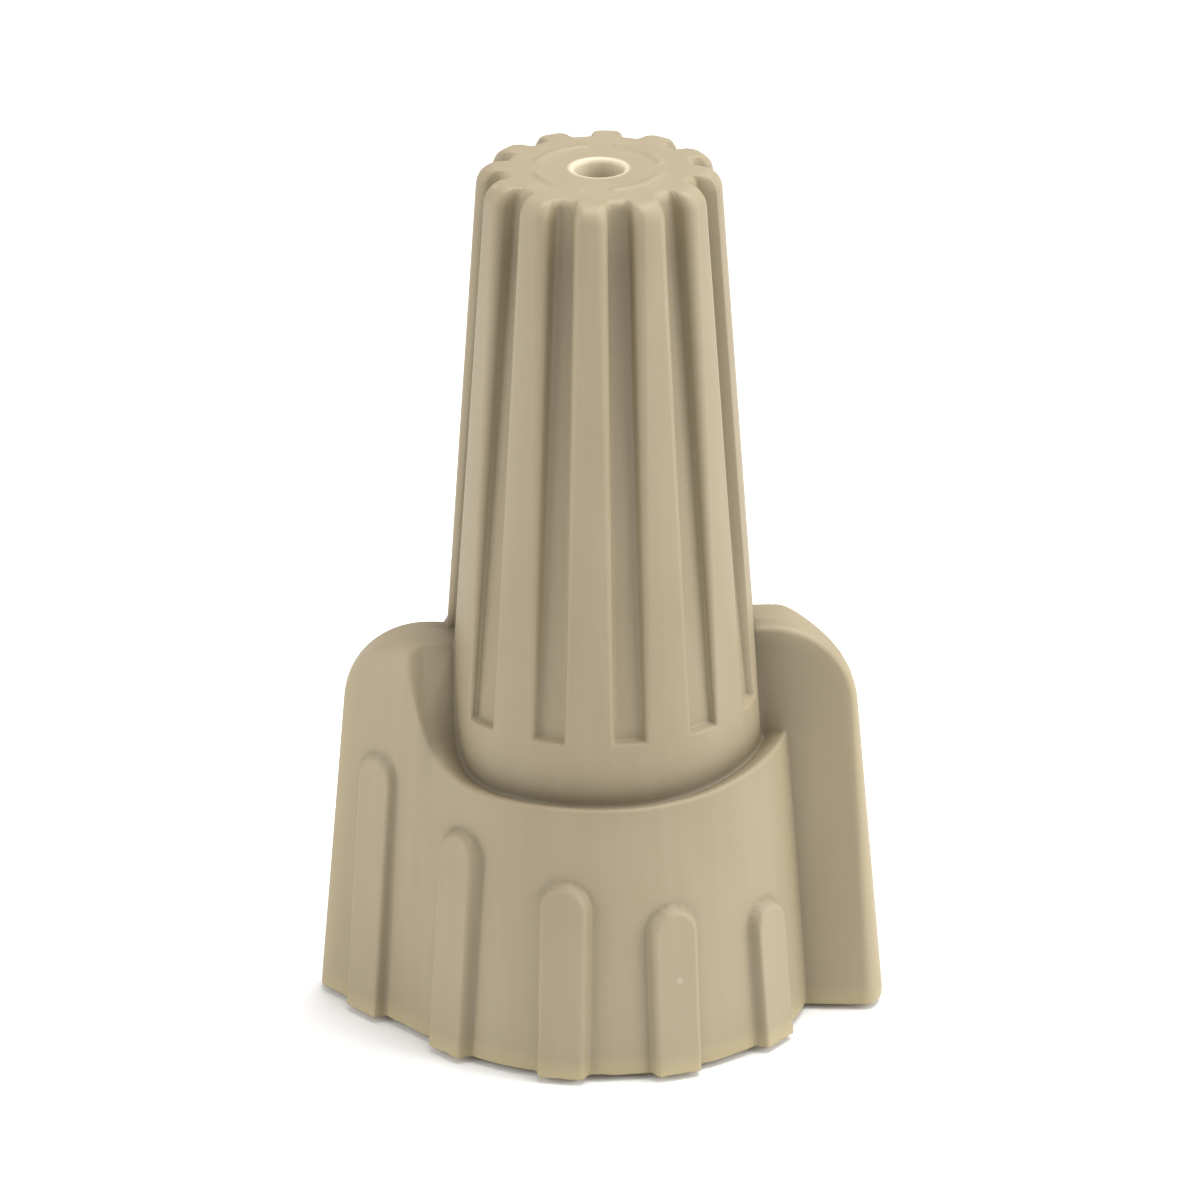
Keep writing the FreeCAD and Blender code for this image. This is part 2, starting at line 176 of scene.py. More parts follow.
def smooth_curve(x, xs, ys):
    """A smooth line through given points that never overshoots them."""
    steps = np.diff(ys) / np.diff(xs)
    slopes = np.zeros(len(xs))
    same_way = steps[1:] * steps[:-1] > 0
    slopes[1:-1] = np.where(same_way, 2.0 * steps[1:] * steps[:-1]
                            / np.where(same_way, steps[1:] + steps[:-1], 1.0), 0.0)
    slopes[0], slopes[-1] = steps[0], steps[-1]
    piece = np.clip(np.searchsorted(xs, x) - 1, 0, len(xs) - 2)
    width = xs[piece + 1] - xs[piece]
    t = np.clip((x - xs[piece]) / width, 0.0, 1.0)
    return ((1 + 2 * t) * (1 - t) ** 2 * ys[piece] + t * (1 - t) ** 2 * width * slopes[piece]
            + t * t * (3 - 2 * t) * ys[piece + 1] - t * t * (1 - t) * width * slopes[piece + 1])


LEAN = math.atan(DRAFT)
ARC_Z = WING_TOP - CORNER_ROUND
ARC_X = tip_reach(0.0) - DRAFT * ARC_Z - CORNER_ROUND / math.cos(LEAN)
ARC_FOOT = ARC_Z + CORNER_ROUND * math.sin(LEAN)


def silhouette(x):
    """Height of the wing's top edge at a distance out along the wing."""
    out = np.clip((x - ARC_X) / CORNER_ROUND, 0.0, math.cos(LEAN))
    return ARC_Z + CORNER_ROUND * np.sqrt(1.0 - out * out)


def soft_least(a, b, width):
    share = np.clip(0.5 + 0.5 * (b - a) / width, 0.0, 1.0)
    return blend(b, a, share) - width * share * (1.0 - share)


def top_height(x, y):
    """Height of the shoulder, ramp or wing top above a plan point."""
    angle, radius = np.degrees(np.arctan2(y, x)), np.hypot(x, y)
    inward = np.clip((6.55 - radius) / 1.05, 0.0, 1.0)
    ramp = smooth_curve(np.clip(angle - 2.4 * inward * ease((60 - angle) / 30), 0.0, 180.0),
                        RAMP_ANGLES, RAMP_HEIGHTS)
    gutter = 0.48 * ease(inward * 0.75) * ease((13.6 - ramp) / 3.0)
    return soft_least(ramp - gutter, silhouette(x), 0.45)


print("corner arc starts %.2f mm out, ends %.2f mm up" % (ARC_X, ARC_FOOT))

# %% [markdown]
# ## Cone with twelve grooves
# Fingers hold the cone by its ribs. Each groove has a flat floor, a small fillet, a straight wall
# and a rounded rib edge, and the edge is rounder towards the top. A groove seen end on is therefore
# a short path, and each column of the skin owns one spot on it, which keeps the walls crisp.

# %% Groove section at any height
RIBS = 12
HALF_PITCH = 180.0 / RIBS
GROOVE_TURN = 2.1
LEDGE = 11.75
CROWN_ROUND, FLOOR_ROUND = 0.62, 0.28
FLOOR_END, FILLET_END, WALL_END, EDGE_END = 5.8, 6.6, 7.4, 10.6
GROOVE_STOPS = [0.0, 3.0, FLOOR_END, 6.1, 6.35, FILLET_END, 7.0, WALL_END, 7.85, 8.35, 8.9, 9.45,
                10.0, EDGE_END, 12.6, HALF_PITCH]


def crown_in(z, size):
    """How far an outline has drawn in at a height, for a rounding of that size at the top."""
    up = np.clip((z - (CAP_HEIGHT - size)) / size, 0.0, 1.0)
    return size * (1.0 - np.sqrt(1.0 - up * up))


def by_stretch(off, floor, fillet, wall, edge, rim):
    """The value that belongs to the stretch of the groove's section that a column lies on."""
    return np.where(off < FLOOR_END, floor,
           np.where(off < FILLET_END, fillet,
           np.where(off < WALL_END, wall,
           np.where(off < EDGE_END, edge, rim))))


def cone_point(angle, z, held=False):
    """Plan point of the ribbed cone for a column's own angle, in degrees.

    The ribs stand a little back from the wings' line, and the columns turn back with them. A held
    column keeps exactly its angle, as those beside a wing's flat face must.
    """
    phase = angle + np.where(held, GROOVE_TURN, 0.0)
    turn = np.mod(phase, 2.0 * HALF_PITCH) - HALF_PITCH
    middle, side, off = phase - turn - GROOVE_TURN, np.sign(turn), np.abs(turn)
    share = np.clip((z - LEDGE) / (CAP_HEIGHT - LEDGE), 0.0, 1.0)
    top = rib_radius(z) - crown_in(z, CROWN_ROUND)
    floor = blend(5.17, 3.34, share) - crown_in(z, FLOOR_ROUND)
    half = blend(0.55, 0.43, share)
    crest = np.sqrt(top ** 2 - half ** 2)
    room = np.maximum(crest - floor, 0.02)
    edge = np.minimum(blend(0.14, 0.40, share ** 0.8), 0.55 * room)
    fillet = np.minimum(blend(0.10, 0.16, share), 0.25 * room)
    foot = half - 0.05
    past_floor = (off - FLOOR_END) / (FILLET_END - FLOOR_END)
    past_wall = (off - WALL_END) / (EDGE_END - WALL_END)
    bend = np.clip(past_floor, 0.0, 1.0) * math.pi / 2
    turn_out = np.clip(past_wall, 0.0, 1.0) * math.pi / 2
    wall = np.clip((off - FILLET_END) / (WALL_END - FILLET_END), 0.0, 1.0)
    last = np.arcsin((half + edge) / top)
    over = np.clip((off - EDGE_END) / (HALF_PITCH - EDGE_END), 0.0, 1.0)
    rim = blend(last, np.radians(HALF_PITCH), over)
    top_at = np.sqrt(np.maximum(top ** 2 - (half + edge) ** 2, 0.01))
    d = by_stretch(off, (foot - fillet) * off / FLOOR_END, foot - fillet + fillet * np.sin(bend),
                   blend(foot, half, wall), half + edge * (1 - np.cos(turn_out)), top * np.sin(rim))
    h = by_stretch(off, floor, floor + fillet * (1 - np.cos(bend)),
                   blend(floor + fillet, top_at - edge, wall),
                   top_at - edge * (1 - np.sin(turn_out)), top * np.cos(rim))
    depth = ease((z - LEDGE + 0.06) / 0.16)
    turns = [np.arctan2(foot - fillet, floor), np.arctan2(foot, floor + fillet),
             np.arctan2(half, top_at - edge) + 0.002]
    plain = by_stretch(off, turns[0] * off / FLOOR_END, blend(turns[0], turns[1], past_floor),
                       blend(turns[1], turns[2], wall), blend(turns[2], last, past_wall), rim)
    way = np.radians(off)
    toward = (half + edge) * np.sin(way) + (top_at - edge) * np.cos(way)
    reach = (half + edge) ** 2 + (top_at - edge) ** 2 - edge ** 2
    on_edge = toward + np.sqrt(np.maximum(toward ** 2 - reach, 0.0))
    ray = blend(top, np.where(way < last, on_edge, top), depth)
    d = np.where(held, ray * np.sin(way), blend(top * np.sin(plain), d, depth))
    h = np.where(held, ray * np.cos(way), blend(top * np.cos(plain), h, depth))
    aim = np.radians(middle)
    return (h * np.cos(aim) - side * d * np.sin(aim), h * np.sin(aim) + side * d * np.cos(aim))


print("%d grooves, %.0f columns over each" % (RIBS, 2 * len(GROOVE_STOPS) - 2))

# %% [markdown]
# ## Grip ribs
# Low round-topped ribs on the skirt stop a finger slipping. Their sides are sharp, so the skin has
# extra columns just there, and those columns lean with the ribs from mouth to shoulder.

# %% Where the grip ribs stand
GRIPS = {"grip_wing": (43.0, -4.05, 9.6), "grip_turn": (45.0, 0.2, 8.2),
         "grip_left": (81.4, 0.0, 7.05), "grip_right": (112.8, 0.0, 6.05),
         "grip_step": (146.3, 0.0, 5.2)}
GRIP_HALF, GRIP_PROUD, SIDE_RISE = 0.875, 0.40, 0.22
GRIP_STOPS = [-0.10, -0.02, 0.03, 0.08, 0.14, 0.22, 0.38, 0.60]


def side_along(facing, offset, z):
    """Distance along the wall to a line that stands sideways of a facing direction."""
    leave, radius = sweep_angle(z), skirt_radius(z)
    turn = leave - math.radians(facing)
    straight = (offset - radius * np.sin(turn)) / np.cos(turn)
    round_to = radius * (math.radians(facing) + np.arcsin(offset / radius) - leave)
    return np.where((straight < 0.0) & (facing < 60.0), straight, round_to)


REFERENCE = 5.0


def name_angle(along):
    """A column's name: its angle from the axis at the reference height."""
    x, y = wall_point(along, REFERENCE)
    return float(np.degrees(np.arctan2(y, x)))


knots = [(name_angle(-sweep_length(REFERENCE)), lambda z: -sweep_length(z)),
         (name_angle(wall_end(REFERENCE)), wall_end)]
for facing, offset, top in GRIPS.values():
    for way in (-1, 1):
        for stop in GRIP_STOPS:
            line = offset + way * (GRIP_HALF - stop)
            knots.append((name_angle(side_along(facing, line, REFERENCE)),
                          lambda z, facing=facing, line=line: side_along(facing, line, z)))
knots.sort(key=lambda knot: knot[0])
print(len(knots), "wall columns tied to rib sides and to the wall's ends")

# %% [markdown]
# ## Columns round the cap
# The cap looks the same turned half round, so only half is worked out. Its columns are the sum of
# what the wall, the ribs and the grooves need, with near doubles dropped.

# %% Names of the columns of one half
FIRST = 1.6 + GROOVE_TURN
LAST = 180.0 - math.degrees(math.asin(float(face_set(SHOULDER)) / CONE_FOOT))


def column_names():
    names = [name for name, along in knots]
    for groove in range(6):
        for stop in GROOVE_STOPS:
            names += [30.0 * groove + 15.0 + stop, 30.0 * groove + 15.0 - stop]
    names += list(np.arange(2.0, 178.0, 2.0))
    low, high = knots[0][0], knots[-1][0]
    names = sorted(name for name in names if low <= name <= high)
    kept = [names[0]]
    special = {round(name, 6) for name, along in knots}
    for name in names[1:]:
        if name - kept[-1] > 0.16:
            kept.append(name)
        elif round(name, 6) in special and round(kept[-1], 6) not in special:
            kept[-1] = name
    kept[-1] = high
    return np.array(kept)


NAMES = column_names()
print(len(NAMES), "columns over the swept side and skirt of one half")


def along_wall(names, z):
    """Distance along the wall of each column at its height."""
    at = np.array([knot[0] for knot in knots])
    values = np.array([knot[1](z) * np.ones_like(z) for knot in knots])
    values = np.maximum.accumulate(values, axis=0)
    piece = np.clip(np.searchsorted(at, names, side="right") - 1, 0, len(at) - 2)
    share = (names - at[piece]) / (at[piece + 1] - at[piece])
    pick = np.arange(len(names))
    return blend(values[piece, pick], values[piece + 1, pick], share)

# %% [markdown]
# ## Path of a column
# A column starts at the probe hole's edge, comes down the cone, crosses the shoulder or the wing's
# top and goes down the wall. The corners between those stretches are short curves, so every edge
# of the moulding catches light as a rounded one does.

# %% Stretches of a column
ROWS_CONE, ROWS_CREASE, ROWS_TOP, ROWS_EDGE = 34, 4, 14, 6
FINE_FOOT = 3.9


def spread(path, shares):
    """Points at given shares of each column's length: path is columns x points x 3."""
    steps = np.linalg.norm(np.diff(path, axis=1), axis=2)
    run = np.concatenate([np.zeros((len(path), 1)), np.cumsum(steps, axis=1)], axis=1)
    out = np.empty((len(path), shares.shape[-1], 3))
    for column, (points, length) in enumerate(zip(path, run)):
        aim = (shares if shares.ndim == 1 else shares[column]) * length[-1]
        for axis in range(3):
            out[column, :, axis] = np.interp(aim, length, points[:, axis])
    return out


def path_length(path):
    return np.linalg.norm(np.diff(path, axis=1), axis=2).sum(axis=1)


def corner(before, knee, after, rows):
    """A short curve from one stretch to the next, round their knee."""
    t = np.linspace(0.0, 1.0, rows + 2)[1:-1][None, :, None]
    return (before[:, None] * (1 - t) ** 2 + 2 * knee[:, None] * t * (1 - t)
            + after[:, None] * t ** 2)


def cone_foot(angles, held):
    """Height at which the cone meets the top side, for each column."""
    z = np.full(len(angles), 11.0)
    for _ in range(60):
        x, y = cone_point(angles, z, held)
        z = blend(z, top_height(x, y), 0.5)
    return z


def wall_top(names):
    """Height at which the wall meets the top side."""
    low, high = np.full(len(names), 8.0), np.full(len(names), 14.4)
    for _ in range(40):
        z = (low + high) / 2
        x, y = wall_point(along_wall(names, z), z)
        above = (z > top_height(x, y)) | (x > tip_reach(z) - 1e-6) & (z > ARC_FOOT)
        low, high = np.where(above, low, z), np.where(above, z, high)
    return (low + high) / 2


def cone_rows(angles, foot, held):
    """The cone from the crown to just above its foot."""
    crown = CAP_HEIGHT - CROWN_ROUND + CROWN_ROUND * np.sin(np.linspace(math.pi / 2, 0, 9))
    heights = np.repeat(crown[None, :], len(angles), axis=0)
    ledge = np.maximum(LEDGE, foot + 0.9)
    long_run = np.linspace(0, 1, 12)[1:-1]
    upper = blend(heights[:, -1:], ledge[:, None] + 0.35, long_run[None, :])
    step = ledge[:, None] + np.linspace(0.30, -0.20, 11)[None, :]
    lower = blend((ledge - 0.2)[:, None], (foot + 0.14)[:, None], np.linspace(0, 1, 6)[None, 1:-1])
    z = np.concatenate([heights, upper, step, lower], axis=1)
    x, y = cone_point(angles[:, None] * np.ones_like(z), z, held[:, None])
    return np.stack([x, y, z], axis=-1)


def wall_heights(top):
    """Heights down the wall: close together where grip ribs end, wide apart below them."""
    fine = blend(top[:, None], FINE_FOOT, np.linspace(0, 1, 59)[None, :])
    coarse = np.repeat(np.linspace(FINE_FOOT, 0.1, 9)[None, 1:], len(top), axis=0)
    return np.concatenate([fine, coarse], axis=1)


def swept_columns():
    """All columns from the wing's tip corner to the far wing's flat face."""
    angles = blend(FIRST, LAST, (NAMES - NAMES[0]) / (NAMES[-1] - NAMES[0]))
    angles = np.where((NAMES > 6) & (NAMES < 172), NAMES, angles)
    angles = np.maximum.accumulate(np.clip(angles, FIRST, LAST))
    held = angles >= LAST - 1e-9
    foot, edge = cone_foot(angles, held), wall_top(NAMES)
    cone = cone_rows(angles, foot, held)
    x0, y0 = cone_point(angles, foot, held)
    x1, y1 = wall_point(along_wall(NAMES, edge), edge)
    t = np.linspace(0, 1, 240)
    x, y = blend(x0[:, None], x1[:, None], t), blend(y0[:, None], y1[:, None], t)
    z = top_height(x, y)
    z[:, -1] = edge
    top = np.stack([x, y, z], axis=-1)
    length = path_length(top)
    bend = 0.17 + 0.5 * ease((edge - 11.8) / 1.8)
    inset, back = 0.13 / length, bend / length
    shares = np.linspace(0, 1, ROWS_TOP)[None, :]
    body = spread(top, inset[:, None] + (1 - inset - back)[:, None] * shares)
    heights = wall_heights(edge - bend)
    walls = [wall_point(along_wall(NAMES, heights[:, row]), heights[:, row])
             for row in range(heights.shape[1])]
    wall = np.stack([np.stack([p[0] for p in walls], 1), np.stack([p[1] for p in walls], 1),
                     heights], axis=-1)
    crease = corner(cone[:, -1], top[:, 0], body[:, 0], ROWS_CREASE)
    rim = corner(body[:, -1], top[:, -1], wall[:, 0], ROWS_EDGE)
    return np.concatenate([cone, crease, body, rim, wall], axis=1), angles


SWEPT, SWEPT_ANGLES = swept_columns()
print("swept columns:", SWEPT.shape)

# %% [markdown]
# ## Blunt tip and flat face of a wing
# The wing's outline, along its top and down its tip, is one line. A bullnose follows it, full at
# the tip and small along the top. From it the flat face is filled with nested bends, each a
# blend between that line and the line where the face meets the skirt.

# %% Bullnose and flat face
BULLNOSE, FLAT = 8, 22
FLAT_ANGLE = math.degrees(math.asin(face_set(WING_TOP) / 5.27))


def soften_crease(columns):
    """Run the rows of the crease straight from the cone to the top side."""
    last, first = columns[:, ROWS_CONE - 1], columns[:, ROWS_CONE + ROWS_CREASE]
    for row in range(ROWS_CREASE):
        columns[:, ROWS_CONE + row] = blend(last, first, (row + 1.0) / (ROWS_CREASE + 1.0))
    return columns


def bullnose_columns():
    """Columns that turn from the flat face over the edge of the wing to its swept side."""
    first = SWEPT[0]
    slope = np.gradient(first[:, [0, 2]], axis=0)
    slope /= np.linalg.norm(slope, axis=1)[:, None] + 1e-9
    out = np.stack([-slope[:, 1], slope[:, 0]], axis=1)
    columns = []
    down_tip = ease((ARC_FOOT + 2.2 - first[:, 2]) / 2.6) * (first[:, 0] > 7.0)
    thick = face_set(first[:, 2]) + TIP_SET
    inset = blend(0.22, 0.57 * thick / 1.4, down_tip)
    across = blend(0.24, 0.72 * thick, down_tip)
    for turn in np.linspace(0.0, math.pi / 2, BULLNOSE):
        column = first.copy()
        deep = inset * (1 - math.sin(turn))
        column[:, 0] = first[:, 0] - out[:, 0] * deep
        column[:, 2] = first[:, 2] - out[:, 1] * deep
        column[:, 1] = -face_set(column[:, 2]) + across * (1 - math.cos(turn))
        columns.append(column)
    columns = np.array(columns)
    angles = blend(-FLAT_ANGLE, 0.3, np.linspace(0.0, 1.0, BULLNOSE))
    for place, turn in enumerate(np.linspace(0.0, math.pi / 2, BULLNOSE)):
        drop = inset[ROWS_CONE] * (1 - math.sin(turn))
        z = first[:ROWS_CONE, 2] - drop * ease((17.0 - first[:ROWS_CONE, 2]) / 3.0)
        x, y = cone_point(np.full(ROWS_CONE, angles[place]), z, True)
        columns[place, :ROWS_CONE] = np.stack([x, y, z], axis=-1)
    return soften_crease(columns), angles


def flat_columns(nose):
    """Columns of the far wing's flat face, from the skirt out to the bullnose."""
    inner, outer = SWEPT[-1], nose[0] * np.array([-1.0, -1.0, 1.0])
    columns = []
    shares = (np.arange(1, FLAT) / FLAT) ** 1.15
    angles = blend(LAST, 180.0 - FLAT_ANGLE, shares)
    for share, angle in zip(shares, angles):
        column = blend(inner, outer, share)
        column[:, 1] = face_set(column[:, 2])
        x, y = cone_point(np.full(ROWS_CONE, angle), column[:ROWS_CONE, 2], True)
        column[:ROWS_CONE, 0], column[:ROWS_CONE, 1] = x, y
        columns.append(column)
    return soften_crease(np.array(columns)), angles


NOSE, NOSE_ANGLES = bullnose_columns()
FACE, FACE_ANGLES = flat_columns(NOSE)
print("bullnose", NOSE.shape, "flat face", FACE.shape)

# %% [markdown]
# ## Inside of the shell
# Below the probe hole is a chamber for the spring, a funnel that leads the wires into it, and a
# straight bore that takes their insulation. These are turned shapes, so a few radii and heights
# are enough to close every column into a loop. Four plain raised arcs round the probe hole stand
# where a maker moulds its own marks. They rise 0.05 mm over the flat top.

# %% Radii and heights of the inside, and the relief on top
MOUTH = 6.35
INSIDE = [(MOUTH, 0.0), (6.27, 0.16), (5.95, 0.80), (5.95, 4.0), (5.95, 6.9),
          (5.93, 7.25), (5.86, 7.42), (5.0, 8.71), (4.26, 9.84), (4.15, 10.06), (4.12, 10.5),
          (3.6, 16.7), (3.1, 23.6), (2.78, 27.85), (2.68, 28.12), (2.5, 28.2),
          (0.94, 28.2), (0.88, 28.24), (0.86, 28.35), (0.86, 30.82), (0.89, 30.93),
          (0.97, 31.0), (1.15, 31.0)]
RELIEF = [(1.85, 0.0), (2.02, 0.0), (2.07, 0.7), (2.11, 1.0), (2.25, 1.0), (2.29, 0.7),
          (2.34, 0.0), (2.50, 0.0)]
RELIEF_HEIGHT = 0.05


def stack_ring(plan, z):
    return np.concatenate([plan, np.full((len(plan), 1), z)], axis=1)


def inside_rows(outer, angles):
    """Rows that run in under the mouth rim, up the hollow and out over the cone's top."""
    turn = np.radians(angles)
    ring = np.stack([np.cos(turn), np.sin(turn)], axis=-1)
    lip, rows = MOUTH * ring, []
    gap = np.linalg.norm(outer[:, -1, :2] - lip, axis=1)
    for inset, z in ((0.02, 0.045), (0.06, 0.01), (0.13, 0.0)):
        rows.append(stack_ring(blend(outer[:, -1, :2], lip, (inset / gap)[:, None]), z))
    rows.append(stack_ring(blend(outer[:, -1, :2], lip, 0.5), 0.0))
    rows += [stack_ring(radius * ring, z) for radius, z in INSIDE]
    arcs = ease((np.abs(np.sin(2.0 * turn)) - 0.35) / 0.12)
    for radius, raised in RELIEF:
        row = stack_ring(radius * ring, CAP_HEIGHT)
        row[:, 2] += RELIEF_HEIGHT * raised * arcs
        rows.append(row)
    for share in (0.35, 0.7, 0.93):
        rows.append(stack_ring(blend(RELIEF[-1][0] * ring, outer[:, 0, :2], share), CAP_HEIGHT))
    return np.stack(rows, axis=1)


print("inside:", len(INSIDE), "rings, relief:", len(RELIEF), "rings")

# %% [markdown]
# ## Painted shade in the hollows
# The hollows are painted a deeper tone, as painted shade where less light reaches. The skin
# carries that as one number per point, which the finish reads later. It comes from the depth of a
# groove and from the distance to the crease at the cone's foot and to the flat face's inner corner.

# %% Recess of each point
def recess_of(outer):
    """How much painted shade each point takes: grooves, the crease and the wing's corner."""
    depth = rib_radius(outer[..., 2]) - np.hypot(outer[..., 0], outer[..., 1])
    rows = np.arange(outer.shape[1])[None, :]
    above = (outer[..., 2] < CAP_HEIGHT - 0.9) & (rows < ROWS_CONE)
    up = np.clip((outer[..., 2] - LEDGE) / (CAP_HEIGHT - LEDGE), 0.0, 1.0)
    groove = np.where(above, np.clip(depth / 0.85, 0.0, 1.0) * blend(0.10, 0.62, up), 0.0)
    steps = np.linalg.norm(np.diff(outer, axis=1), axis=2)
    run = np.concatenate([np.zeros((len(outer), 1)), np.cumsum(steps, axis=1)], axis=1)
    foot = outer[:, ROWS_CONE + 1, 2]
    reach = 0.46 + 0.75 * ease((foot - 10.0) / 1.0) * ease((14.2 - foot) / 0.8)
    crease = 1.5 * np.exp(-np.abs(run - run[:, ROWS_CONE + 1][:, None]) / reach[:, None])
    corner_line = outer[len(NOSE) + len(SWEPT) - 1]
    away = np.linalg.norm(outer - corner_line[None], axis=2)
    angle = 0.7 * np.exp(-away / 0.45) * (rows >= ROWS_CONE)
    return np.maximum(np.maximum(groove, crease), angle)


print("recess 0 to %.2f over the swept side" % recess_of(np.concatenate([NOSE, SWEPT, FACE])).max())

# %% [markdown]
# ## Closing the skin
# A moulding is never quite true at its parting line, so the mouth's outer edge swells and shrinks
# by a few hundredths of a millimetre, from smooth noise that is the same on every run. The loops,
# joined round the axis and again for the other half, then make one closed skin.

# %% Uneven foot edge, and the skin
def ragged_foot(whole, last):
    """A little flash and shrink along the mouth's outer edge."""
    foot = whole[:, last - 1]
    swell = np.array([uneven.noise(Vector((x * 0.9, y * 0.9, 1.7))) for x, y, z in foot])
    nick = np.array([uneven.noise(Vector((x * 2.1, y * 2.1, 5.3))) for x, y, z in foot])
    outward = foot[:, :2] / np.linalg.norm(foot[:, :2], axis=1)[:, None]
    for row in range(last - 8, last + 2):
        low = np.clip(1.0 - whole[:, row, 2] / 0.7, 0.0, 1.0) ** 2
        whole[:, row, :2] += outward * ((0.05 * swell + 0.03 * nick) * low)[:, None]
        whole[:, row, 2] += np.maximum(0.10 * swell + 0.09 * nick, 0.0) * low
    return whole


SAME_POINT = 2e-8


def shell_skin():
    """The closed skin of the whole shell, in metres, with columns that meet made one."""
    outer = np.concatenate([NOSE, SWEPT, FACE])
    angles = np.concatenate([NOSE_ANGLES, SWEPT_ANGLES, FACE_ANGLES])
    half = np.concatenate([outer, inside_rows(outer, angles)], axis=1)
    whole = np.concatenate([half, half * np.array([-1.0, -1.0, 1.0])])
    whole = ragged_foot(whole, outer.shape[1])
    columns, rows = whole.shape[:2]
    c, r = np.meshgrid(np.arange(columns), np.arange(rows), indexing="ij")
    c2, r2 = (c + 1) % columns, (r + 1) % rows
    faces = np.stack([c * rows + r, c * rows + r2, c2 * rows + r2, c2 * rows + r], axis=-1)
    mesh = bpy.data.meshes.new("shell_skin")
    mesh.from_pydata((whole.reshape(-1, 3) * MM).tolist(), [], faces.reshape(-1, 4).tolist())
    mesh.polygons.foreach_set("use_smooth", np.ones(len(mesh.polygons), dtype=bool))
    # The recess number is how much painted shade the finish lays on each outside point.
    recess = np.zeros((columns, rows))
    recess[:, :outer.shape[1]] = np.tile(recess_of(outer), (2, 1))
    mesh.attributes.new("recess", "FLOAT", "POINT").data.foreach_set("value", recess.ravel())
    merged = bmesh.new()
    merged.from_mesh(mesh)
    bmesh.ops.remove_doubles(merged, verts=merged.verts, dist=SAME_POINT)
    merged.to_mesh(mesh)
    merged.free()
    piece = bpy.data.objects.new("shell_skin", mesh)
    bpy.context.scene.collection.objects.link(piece)
    return piece


shell = shell_skin()
print("skin of", len(shell.data.polygons), "faces")

# %% [markdown]
# ## Writing sums as Python
# Geometry Nodes and materials both do their maths with small nodes. Wrapping a socket in a class
# that knows +, -, * and / lets a tree be read as a formula, and each operator adds its own node.

# %% A tree written as formulas
class Sum:
    """A number inside a node tree."""

    def __init__(self, tree, socket):
        self.tree, self.socket = tree, socket

    def maths(self, operation, *others, flip=False):
        terms = [self, *others]
        if flip:
            terms.reverse()
        return self.tree.add("ShaderNodeMath", {"operation": operation},
                             dict(enumerate(terms)))

    def __add__(self, other):
        return self.maths("ADD", other)

    def __radd__(self, other):
        return self.maths("ADD", other)

    def __sub__(self, other):
        return self.maths("SUBTRACT", other)

    def __rsub__(self, other):
        return self.maths("SUBTRACT", other, flip=True)

    def __mul__(self, other):
        return self.maths("MULTIPLY", other)

    def __rmul__(self, other):
        return self.maths("MULTIPLY", other)

    def __truediv__(self, other):
        return self.maths("DIVIDE", other)

    def __pow__(self, other):
        return self.maths("POWER", other)

    def size(self):
        return self.maths("ABSOLUTE")

    def sign(self):
        return self.maths("SIGN")

    def least(self, other):
        return self.maths("MINIMUM", other)

    def most(self, other):
        return self.maths("MAXIMUM", other)

    def root(self):
        return self.maths("SQRT")

    def held(self):
        """Kept between 0 and 1."""
        return self.most(0.0).least(1.0)


class Tree:
    """A node tree and the one way that nodes are added to it."""

    def __init__(self, tree):
        self.tree = tree

    def add(self, kind, settings=None, inputs=None, out=0):
        """A node with its settings made first, then its inputs set or linked."""
        node = self.tree.nodes.new(kind)
        for name, value in (settings or {}).items():
            setattr(node, name, value)
        for place, value in (inputs or {}).items():
            if isinstance(value, Sum):
                self.tree.links.new(value.socket, node.inputs[place])
            else:
                node.inputs[place].default_value = value
        return Sum(self, node.outputs[out]) if node.outputs else node

    def axes(self, vector):
        """The x, y and z of a vector."""
        first = self.add("ShaderNodeSeparateXYZ", inputs={0: vector})
        return [Sum(self, first.socket.node.outputs[axis]) for axis in range(3)]


print("operators ready:", ", ".join(name for name in vars(Sum) if name.startswith("__")))

# %% [markdown]
# ## Raising the grip ribs
# All the ribs follow one rule: a round-topped bar, seen along its facing direction, whose front is
# a plane a little off the skirt. A Geometry Nodes tree moves the skin out to that plane inside
# each bar, with a quick rise at the sides, and does the same on the far side of the cap.

# %% Geometry Nodes: grip ribs
def new_node_tool(name, sizes):
    """An empty Geometry Nodes tree with named size inputs, and its group input and output."""
    group = bpy.data.node_groups.new(name, "GeometryNodeTree")
    group.interface.new_socket("Geometry", in_out="INPUT", socket_type="NodeSocketGeometry")
    for label, (kind, value) in sizes.items():
        socket = group.interface.new_socket(label, in_out="INPUT", socket_type=kind)
        socket.default_value = value
    group.interface.new_socket("Geometry", in_out="OUTPUT", socket_type="NodeSocketGeometry")
    tree = Tree(group)
    start = tree.add("NodeGroupInput").socket.node
    given = {label: Sum(tree, start.outputs[label]) for label in sizes}
    given["Geometry"] = Sum(tree, start.outputs["Geometry"])
    return group, tree, given


def end_node_tool(tree, geometry, material):
    """Realize the result, give it its material and send it out."""
    real = tree.add("GeometryNodeRealizeInstances", inputs={0: geometry})
    painted = tree.add("GeometryNodeSetMaterial", inputs={"Geometry": real, "Material": material})
    tree.add("NodeGroupOutput", inputs={0: painted})


def run_node_tool(piece, group, sizes, name):
    """Run a tree on an object and return the result as a plain mesh object."""
    piece.name = piece.data.name = "before_" + name
    step = piece.modifiers.new(group.name, "NODES")
    step.node_group = group
    for item in group.interface.items_tree:
        if item.item_type == "SOCKET" and item.in_out == "INPUT" and item.name in sizes:
            step[item.identifier] = sizes[item.name]
    graph = bpy.context.evaluated_depsgraph_get()
    mesh = bpy.data.meshes.new_from_object(piece.evaluated_get(graph),
                                           preserve_all_data_layers=True, depsgraph=graph)
    mesh.name = name
    result = bpy.data.objects.new(name, mesh)
    bpy.context.scene.collection.objects.link(result)
    bpy.data.objects.remove(piece)
    return result


